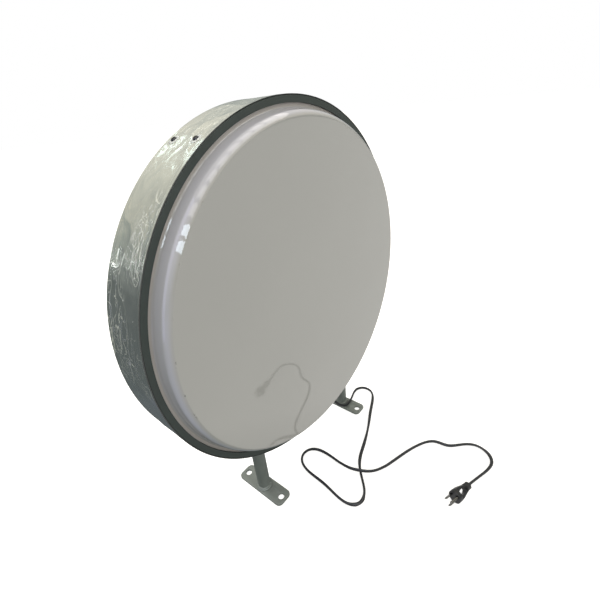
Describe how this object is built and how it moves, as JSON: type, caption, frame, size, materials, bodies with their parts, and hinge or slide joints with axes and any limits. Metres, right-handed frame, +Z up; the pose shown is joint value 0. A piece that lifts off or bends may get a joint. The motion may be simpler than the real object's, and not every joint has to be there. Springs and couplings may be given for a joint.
{
  "type": "lighted advertising sign",
  "caption": "Round two-sided light-box sign with blank opal faces in a metal casing, on two legs with foot plates, with a mains lead and plug.",
  "frame": {"origin": "on the floor, under the middle of the casing, between the two foot plates", "axes": "+X to the right as the front face is read, +Y from the front face to the back face, +Z up"},
  "size_m": [0.6, 0.414, 0.6927],
  "materials": {
    "casing_metal": "thin bright sheet metal under a clear wrinkled protective film",
    "dark_ring_paint": "matt dark grey paint",
    "opal_acrylic": "glossy opal white acrylic",
    "gasket_foam": "closed-cell foam strip",
    "leg_paint": "light grey paint over welded steel",
    "screw_black": "dark plated screws under the film",
    "plain_steel": "bare zinc-plated steel",
    "inner_aluminium": "mill-finish aluminium",
    "white_panel": "white painted sheet",
    "led_board": "white circuit board with clear lenses",
    "terminal_plastic": "moulded terminal strip",
    "black_nylon": "black moulded nylon",
    "cord_pvc": "black flexible vinyl sheath",
    "plug_pvc": "black moulded vinyl",
    "pin_metal": "nickel-plated pins",
    "earth_wire": "green earth wire"
  },
  "bodies": {
    "root": {"casing_band": "casing_metal", "front_retaining_ring": "dark_ring_paint", "front_face": "opal_acrylic", "front_gasket": "gasket_foam", "front_stop_ring": "inner_aluminium", "front_ring_screw_1": "screw_black", "front_led_bar_1": "led_board", "front_ring_screw_2": "screw_black", "front_led_bar_2": "led_board", "front_ring_screw_3": "screw_black", "front_led_bar_3": "led_board", "front_ring_screw_4": "screw_black", "front_led_bar_4": "led_board", "back_retaining_ring": "dark_ring_paint", "back_face": "opal_acrylic", "back_gasket": "gasket_foam", "back_stop_ring": "inner_aluminium", "back_ring_screw_1": "screw_black", "back_led_bar_1": "led_board", "back_ring_screw_2": "screw_black", "back_led_bar_2": "led_board", "back_ring_screw_3": "screw_black", "back_led_bar_3": "led_board", "back_ring_screw_4": "screw_black", "back_led_bar_4": "led_board", "base_stiffener": "plain_steel", "earth_screw": "plain_steel", "led_panel": "white_panel", "panel_bracket_1": "inner_aluminium", "panel_bracket_2": "inner_aluminium", "panel_bracket_3": "inner_aluminium", "panel_bracket_4": "inner_aluminium", "led_driver": "inner_aluminium", "terminal_block": "terminal_plastic", "mains_inner_lead": "cord_pvc", "driver_feed_lead": "cord_pvc", "led_supply_lead": "cord_pvc", "cord_boot": "cord_pvc", "power_cord": "cord_pvc", "earth_lead": "earth_wire", "left_leg_tube": "leg_paint", "left_foot_weld": "leg_paint", "left_foot_plate": "leg_paint", "left_leg_socket": "plain_steel", "left_leg_bolt": "plain_steel", "left_leg_nut": "plain_steel", "right_leg_tube": "leg_paint", "right_foot_weld": "leg_paint", "right_foot_plate": "leg_paint", "right_leg_socket": "plain_steel", "right_leg_bolt": "plain_steel", "right_leg_nut": "plain_steel", "gland_body": "black_nylon", "gland_locknut": "black_nylon", "gland_dome_nut": "black_nylon", "plug_body": "plug_pvc", "plug_blade_left": "pin_metal", "plug_blade_right": "pin_metal", "plug_earth_pin": "pin_metal"}
  },
  "joints": []
}
